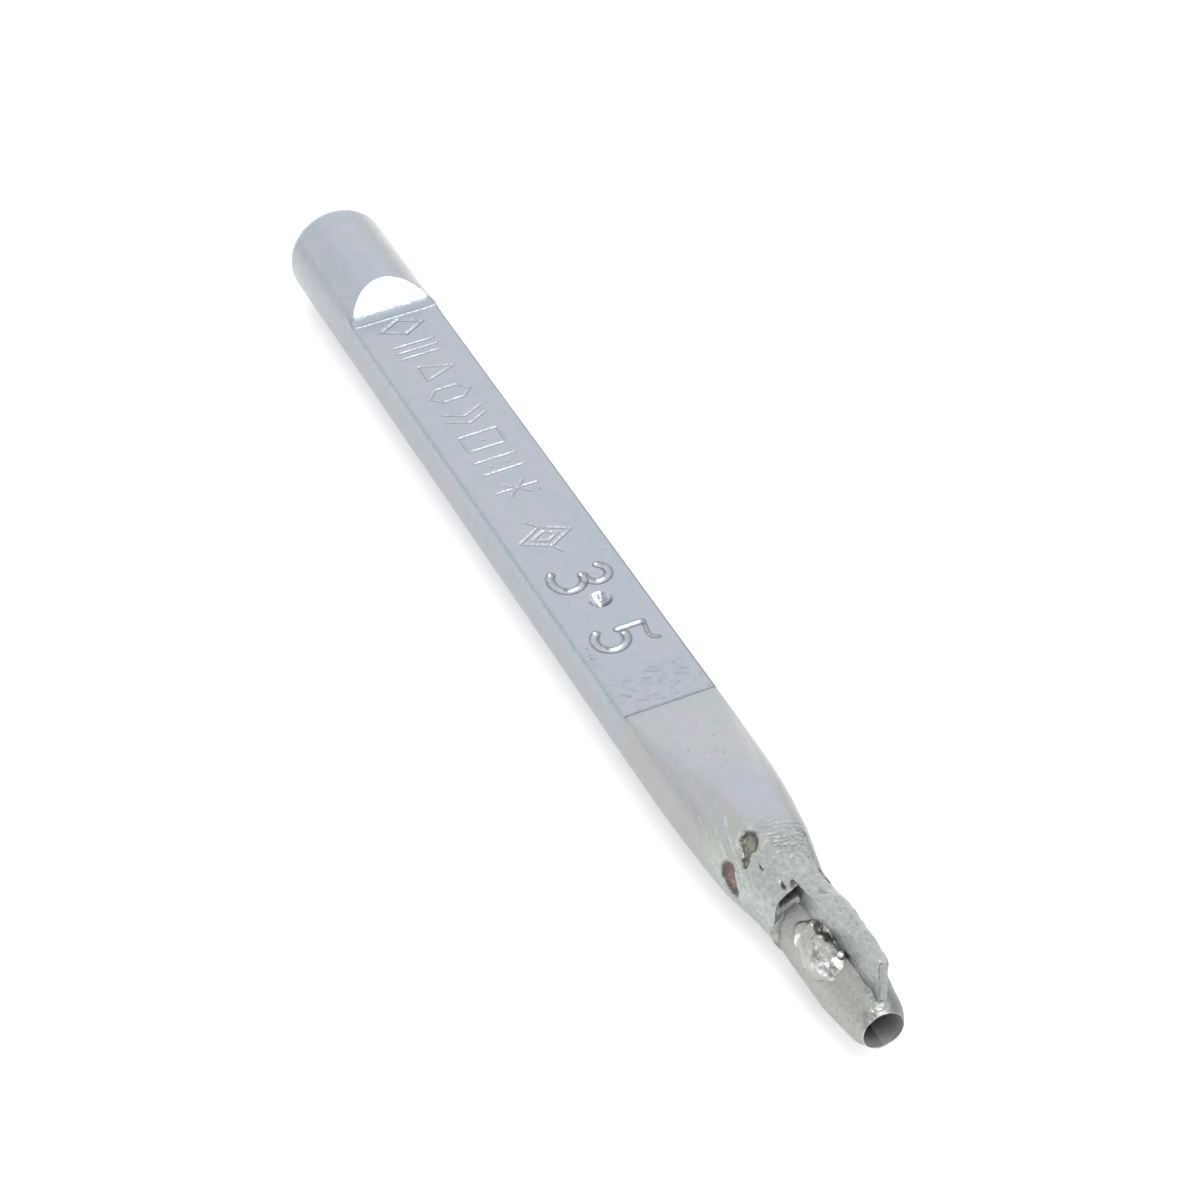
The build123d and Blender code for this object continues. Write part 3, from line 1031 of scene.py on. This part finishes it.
# Lumps of a bead and its painted highlights, in the patch's own plane: u, v, size, then lift or strength
left_bumps = (
    (0.2, -0.5, 0.42, 0.3), (0.05, 0.12, 0.3, 0.32), (-0.55, -0.3, 0.28, 0.36), (0.68, 0.3, 0.16, 0.34),
    (0.45, 0.68, 0.2, 0.55), (0.14, 0.74, 0.16, 0.4), (0.75, 0.78, 0.1, 0.3), (-0.5, 0.85, 0.3, -0.6),
    (-0.3, -0.2, 0.12, -0.22), (-0.72, 0.12, 0.16, 0.15), (-0.1, -0.15, 0.12, 0.14), (-0.78, -0.5, 0.1, -0.3),
)
left_glints = (
    (-0.68, -0.24, 0.34, 1.0), (-0.05, 0.1, 0.14, 0.35), (-0.3, 0.0, 0.13, 0.4), (0.67, 0.38, 0.09, 0.9),
    (0.5, 0.6, 0.08, 0.6), (0.2, 0.62, 0.07, 0.5), (-0.05, -0.85, 0.1, 0.6), (-0.35, -0.55, 0.16, 0.35),
    (0.1, 0.3, 0.08, 0.7),
)
right_bumps = ((0.2, 0.1, 0.4, 0.2), (-0.4, -0.2, 0.3, 0.25), (0.6, 0.2, 0.2, -0.2))


def build_welds(material):
    """Both beads beside the web, the root weld and the ball of spatter."""
    build_patch("weld_bead_left", (8.0, -31.0), (3.3, 2.0), 0.66, left_bumps, material, 2.0, 0.6, left_glints)
    build_patch("weld_bead_right", (7.8, 52.0), (2.6, 0.95), 0.42, right_bumps, material, 5.0)
    build_root_weld(material)
    build_spatter(material)


# How far the root weld stands out from the tube's axis: angle, radius
root_weld_tops = (
    (-345, 3.4), (-300, 3.3), (-270, 3.16), (-240, 3.0), (-180, 2.93), (-120, 3.1), (-92, 3.42),
    (-76, 3.55), (-64, 3.45), (-38, 3.3),
)
root_weld_start = -38.0
root_weld_sweep = 305.0
root_weld_station = 13.3
root_weld_radius = 2.7


def build_root_weld(material):
    """A low lumpy collar round the tube at the neck's end, left open under the lip."""
    spokes, sides = 150, 14
    sweep = np.linspace(root_weld_start, root_weld_start - root_weld_sweep, spokes)
    angles = sweep[:, None] + np.zeros(sides)
    turn = np.linspace(0, 2 * math.pi, sides, endpoint=False)[None]
    thickness = np.sin(np.linspace(0.05, math.pi - 0.05, spokes))[:, None] ** 0.4
    station = root_weld_station + 1.1 * np.cos(turn) * thickness
    over = through(root_weld_tops, angles) - root_weld_radius
    radius = root_weld_radius + np.where(np.sin(turn) > 0.0, over, 0.35) * np.sin(turn) * thickness
    base = tube_places(station, angles, radius)
    radius = radius + 0.06 * lumps(base, 0.6, 21.0)
    station = station + 0.12 * lumps(base, 0.8, 22.0)
    places = tube_places(station, angles, radius)
    ends = [places[0].mean(axis=0), places[-1].mean(axis=0)]
    everything = np.concatenate([places.reshape(-1, 3), np.array(ends)])
    faces = grid_faces(spokes, sides)
    last = spokes * sides
    faces += cap_faces(list(range(sides)), last, True)
    faces += cap_faces(list(range(last - sides, last)), last + 1, False)
    count = last + 2
    spots = fade(0.1, 0.45, lumps(places, 0.5, 23.0)).ravel()
    marks = {"matt": np.full(count, 0.9), "soot_and_shade": np.append(0.6 * spots, (0.0, 0.0))}
    make_piece("root_weld_looks", everything, faces, material, ["root_weld"], marks)


# The ball of spatter: its size, and how far it stands from the CAD ball's centre
spatter_radius = 0.33
spatter_shift = (-0.05, -0.12, 0.2)


def build_spatter(material):
    """One small ball of thrown metal, a little flattened where it stuck."""
    low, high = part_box("weld_spatter")
    centre = np.array((low + high) / 2) / MM + spatter_shift
    rings, spokes = 16, 24
    tilt = np.linspace(0.12, math.pi - 0.12, rings)[:, None]
    turn = np.linspace(0, 2 * math.pi, spokes, endpoint=False)[None]
    upward = np.cos(tilt) + 0.0 * turn
    unit = np.stack([np.sin(tilt) * np.cos(turn), np.sin(tilt) * np.sin(turn), upward], axis=-1)
    radius = spatter_radius * (1.0 + 0.1 * lumps(unit, 0.9, 31.0))
    places = centre + unit * radius[:, :, None] * (1.1, 1.0, 0.9)
    ends = np.array([centre + (0, 0, 0.3), centre - (0, 0, 0.3)])
    everything = np.concatenate([places.reshape(-1, 3), ends])
    last = rings * spokes
    faces = [face[::-1] for face in grid_faces(rings, spokes)]
    faces += cap_faces(list(range(spokes)), last, False)
    faces += cap_faces(list(range(last - spokes, last)), last + 1, True)
    count = last + 2
    # Painted shade on the ball's underside and a painted highlight on its top
    foot = fade(0.35, -0.05, unit[:, :, 2]).ravel()
    marks = {"soot_and_shade": np.append(foot, (0.0, 0.8)), "bright": np.append(1.0 - foot, (1.0, 0.0))}
    make_piece("weld_spatter_looks", everything, faces, material, ["weld_spatter"], marks)


# ---- materials


class Nodes:
    """A short way to write a material's node tree."""

    def __init__(self, name):
        self.material = bpy.data.materials.new(name)
        self.material.use_nodes = True
        self.tree = self.material.node_tree
        self.shader = self.tree.nodes["Principled BSDF"]
        where = self.add("ShaderNodeTexCoord")
        scale = self.add("ShaderNodeVectorMath", operation="SCALE")
        scale.inputs["Scale"].default_value = 1.0 / MM
        self.link(where.outputs["Object"], scale.inputs[0])
        self.place = scale.outputs[0]

    def add(self, kind, **settings):
        node = self.tree.nodes.new(kind)
        for key, value in settings.items():
            setattr(node, key, value)
        return node

    def link(self, output, target):
        self.tree.links.new(output, target)

    def noise(self, frequency, detail=3.0, stretch=(1, 1, 1)):
        mapping = self.add("ShaderNodeMapping")
        mapping.inputs["Scale"].default_value = stretch
        self.link(self.place, mapping.inputs["Vector"])
        texture = self.add("ShaderNodeTexNoise")
        texture.inputs["Scale"].default_value = frequency
        texture.inputs["Detail"].default_value = detail
        self.link(mapping.outputs[0], texture.inputs["Vector"])
        return texture.outputs["Fac"]

    def ramp(self, value, stops):
        node = self.add("ShaderNodeValToRGB")
        elements = node.color_ramp.elements
        while len(elements) < len(stops):
            elements.new(0.5)
        for element, (position, colour) in zip(elements, stops):
            element.position = position
            element.color = (*colour, 1.0)
        self.link(value, node.inputs["Fac"])
        return node.outputs["Color"]

    def fill(self, socket, value):
        """Sets a socket to a number or a colour, or links another node's output to it."""
        if isinstance(value, (int, float)):
            socket.default_value = value
        elif isinstance(value, tuple):
            socket.default_value = (*value, 1.0)
        else:
            self.link(value, socket)

    def blend(self, factor, a, b, mode="MIX"):
        node = self.add("ShaderNodeMix", data_type="RGBA", blend_type=mode)
        for value, index in ((factor, 0), (a, 6), (b, 7)):
            self.fill(node.inputs[index], value)
        return node.outputs[2]

    def mark(self, name):
        node = self.add("ShaderNodeAttribute", attribute_name=name)
        return node.outputs["Fac"]

    def math(self, operation, a, b):
        node = self.add("ShaderNodeMath", operation=operation)
        self.fill(node.inputs[0], a)
        self.fill(node.inputs[1], b)
        return node.outputs[0]

    def bump(self, height, distance, below=None):
        node = self.add("ShaderNodeBump")
        node.inputs["Distance"].default_value = distance
        node.inputs["Strength"].default_value = 1.0
        self.link(height, node.inputs["Height"])
        if below is not None:
            self.link(below, node.inputs["Normal"])
        return node.outputs["Normal"]


def plated_steel(name, smooth_tints, matt_tints, smooth_roughness, matt_roughness):
    """Zinc on steel: uneven and faintly coloured where it is smooth, grey and gritty where it is matt."""
    n = Nodes(name)
    clouds = n.ramp(n.noise(0.16, 2.0), smooth_tints)
    small_clouds = n.ramp(n.noise(0.9, 4.0), ((0.3, (0.965, 0.975, 0.975)), (0.7, (1.025, 1.015, 1.02))))
    smooth = n.blend(1.0, clouds, small_clouds, "MULTIPLY")
    # The first of these is painted shade, a pinkish darkening of the bar's sides by where they face; the
    # others tint the plating
    for mark, tint in (("pink_side_shade", (0.74, 0.715, 0.69)), ("blue", (0.98, 1.0, 1.1)),
                       ("warm", (1.05, 1.0, 0.94)), ("edge", (0.84, 0.91, 0.87))):
        smooth = n.blend(n.mark(mark), smooth, n.blend(1.0, smooth, tint, "MULTIPLY"))
    grit = n.ramp(n.noise(5.0, 3.0), ((0.56, (1.0, 1.0, 1.0)), (0.72, (0.80, 0.80, 0.77))))
    matt = n.blend(1.0, n.ramp(n.noise(2.4, 5.0), matt_tints), grit, "MULTIPLY")
    colour = n.blend(n.mark("matt"), smooth, matt)
    colour = n.blend(n.math("MULTIPLY", n.mark("green"), 0.75), colour, (0.355, 0.37, 0.315))
    dirt = n.ramp(n.noise(2.5, 4.0), ((0.35, (0.10, 0.10, 0.08)), (0.65, (0.23, 0.225, 0.185))))
    colour = n.blend(n.mark("dirt"), colour, dirt)
    rust = n.ramp(n.noise(3.0, 4.0), ((0.35, (0.12, 0.085, 0.07)), (0.7, (0.30, 0.185, 0.155))))
    colour = n.blend(n.mark("rust"), colour, rust)
    # Painted highlights from the bright mark, then painted shade from the shade mark
    colour = n.blend(n.mark("bright"), colour, (0.66, 0.67, 0.66))
    colour = n.blend(n.mark("shade"), colour, (0.15, 0.16, 0.16))
    # Soot, weld spots and dark pits, and painted shade under the lip, in the beads' cracks and under the
    # spatter
    soot_and_shade = n.ramp(n.noise(4.0, 5.0), ((0.35, (0.03, 0.03, 0.028)), (0.7, (0.15, 0.135, 0.12))))
    colour = n.blend(n.mark("soot_and_shade"), colour, soot_and_shade)
    n.link(colour, n.shader.inputs["Base Color"])
    low, high = smooth_roughness - 0.04, smooth_roughness + 0.05
    roughness = n.ramp(n.noise(1.6, 4.0), ((0.3, (low,) * 3), (0.7, (high,) * 3)))
    roughness = n.blend(n.mark("matt"), roughness, (matt_roughness,) * 3)
    n.link(roughness, n.shader.inputs["Roughness"])
    dull = n.math("MAXIMUM", n.mark("rust"), n.math("MAXIMUM", n.mark("soot_and_shade"), n.mark("dirt")))
    n.link(n.math("SUBTRACT", 1.0, n.math("MULTIPLY", dull, 0.6)), n.shader.inputs["Metallic"])
    drawn = n.bump(n.noise(1.0, 3.0, (0.25, 3.0, 3.0)), 0.00002)
    grain = n.bump(n.noise(5.0, 4.0), 0.00004, drawn)
    n.link(grain, n.shader.inputs["Normal"])
    return n


def bar_material():
    """Bright plating, a little blue, and matt grey where the neck is rough."""
    tints = (
        (0.25, (0.376, 0.400, 0.450)), (0.42, (0.357, 0.402, 0.445)), (0.52, (0.384, 0.402, 0.466)),
        (0.62, (0.364, 0.409, 0.436)), (0.78, (0.396, 0.395, 0.452)),
    )
    matt = ((0.25, (0.268, 0.286, 0.276)), (0.5, (0.352, 0.371, 0.362)), (0.75, (0.418, 0.438, 0.431)))
    return plated_steel("zinc_plated_bar", tints, matt, smooth_roughness=0.22, matt_roughness=0.36).material


def tube_material():
    """Grey plating over ground steel, with bare metal in the bore that painted shade darkens."""
    tints = ((0.3, (0.303, 0.321, 0.303)), (0.7, (0.348, 0.366, 0.357)))
    matt = ((0.25, (0.270, 0.282, 0.262)), (0.5, (0.308, 0.319, 0.300)), (0.75, (0.350, 0.360, 0.342)))
    n = plated_steel("zinc_plated_tube", tints, matt, smooth_roughness=0.3, matt_roughness=0.4)
    colour = n.shader.inputs["Base Color"].links[0].from_socket
    bore_tint = n.blend(n.mark("shade"), (0.44, 0.44, 0.46), (0.05, 0.05, 0.05))
    n.link(n.blend(n.mark("bore"), colour, bore_tint), n.shader.inputs["Base Color"])
    metal = n.shader.inputs["Metallic"].links[0].from_socket
    n.link(n.math("SUBTRACT", metal, n.math("MULTIPLY", n.mark("bore"), 0.6)), n.shader.inputs["Metallic"])
    return n.material


def weld_material():
    """Plated weld metal, smooth enough to glint."""
    tints = ((0.3, (0.289, 0.297, 0.276)), (0.7, (0.365, 0.374, 0.357)))
    matt = ((0.25, (0.212, 0.217, 0.204)), (0.5, (0.297, 0.306, 0.289)), (0.75, (0.374, 0.383, 0.365)))
    return plated_steel("weld_metal", tints, matt, smooth_roughness=0.2, matt_roughness=0.34).material


# ---- stage, light and camera


def build_floor():
    """Pale paper that glows a little, so that it stays as white as the photograph's."""
    n = Nodes("floor_paper")
    paper = n.ramp(n.noise(0.01, 2.0), ((0.3, (0.90, 0.90, 0.90)), (0.7, (0.92, 0.92, 0.92))))
    n.link(paper, n.shader.inputs["Base Color"])
    n.shader.inputs["Roughness"].default_value = 0.9
    n.shader.inputs["Specular IOR Level"].default_value = 0.0
    n.shader.inputs["Emission Color"].default_value = (1.0, 1.0, 1.0, 1.0)
    n.shader.inputs["Emission Strength"].default_value = 0.3
    half = 1500.0
    corners = [(-half, -half, 0), (half, -half, 0), (half, half, 0), (-half, half, 0)]
    floor = put_in_scene("floor", new_mesh("floor", corners, [(0, 1, 2, 3)]))
    floor.data.materials.append(n.material)


# The studio is darkest towards this direction, between these two nearnesses to it
dark_direction = (0.80, -0.32, 0.51)
darkening = (("From Min", 0.45), ("From Max", 0.85), ("To Min", 1.0), ("To Max", 0.5))
studio_strength = 1.32

# Softbox: the direction it stands in, its distance and sides in metres, and its power in watts
softbox_direction = (0.42, 0.283, 0.862)
softbox_distance = 0.7
softbox_sides = (0.8, 0.3)
softbox_power = 3.0


def build_light():
    """A white studio that is darker towards the viewer, and one wide softbox that the ramp mirrors."""
    world = bpy.data.worlds.new("studio")
    world.use_nodes = True
    nodes, links = world.node_tree.nodes, world.node_tree.links
    direction = nodes.new("ShaderNodeTexCoord")
    facing = nodes.new("ShaderNodeVectorMath")
    facing.operation = "DOT_PRODUCT"
    facing.inputs[1].default_value = dark_direction
    falloff = nodes.new("ShaderNodeMapRange")
    falloff.interpolation_type = "SMOOTHSTEP"
    for socket, value in darkening:
        falloff.inputs[socket].default_value = value
    links.new(direction.outputs["Generated"], facing.inputs[0])
    links.new(facing.outputs["Value"], falloff.inputs["Value"])
    links.new(falloff.outputs["Result"], nodes["Background"].inputs["Color"])
    nodes["Background"].inputs["Strength"].default_value = studio_strength
    bpy.context.scene.world = world
    toward = Vector(softbox_direction).normalized()
    across = (Vector((0, 1, 0)) - toward * toward.y).normalized()
    turn = Matrix((across, toward.cross(across), toward)).transposed()
    data = bpy.data.lights.new("softbox", "AREA")
    data.shape = "RECTANGLE"
    data.size, data.size_y = softbox_sides
    data.energy = softbox_power
    softbox = put_in_scene("softbox", data)
    softbox.matrix_world = Matrix.Translation(toward * softbox_distance) @ turn.to_4x4()


# The photograph's view: azimuth, elevation and roll in degrees, the point looked at in millimetres,
# the distance from it in metres, and the focal length on a 36 mm sensor
camera_angles = (68.2, 40.3, -3.83)
camera_target = (3.16, 1.31, 5.0)
camera_distance = 0.32365
camera_lens = 108.78


def build_camera():
    """The photograph's view: from the mouth's side, left of the bar, looking down at 40 degrees."""
    azimuth, elevation, roll = (math.radians(angle) for angle in camera_angles)
    level = math.cos(elevation)
    back = Vector((math.sin(azimuth) * level, -math.cos(azimuth) * level, math.sin(elevation)))
    data = bpy.data.cameras.new("camera")
    data.lens = camera_lens
    data.sensor_width = 36.0
    camera = put_in_scene("camera", data)
    turn = back.to_track_quat("Z", "Y").to_matrix() @ Matrix.Rotation(roll, 3, "Z")
    place = Vector(camera_target) * MM + back * camera_distance
    camera.matrix_world = Matrix.Translation(place) @ turn.to_4x4()
    bpy.context.scene.camera = camera


bpy.context.scene.view_settings.view_transform = "Standard"
build_camera()
build_floor()
build_light()
build_shank(bar_material())
build_tube(tube_material())
build_welds(weld_material())
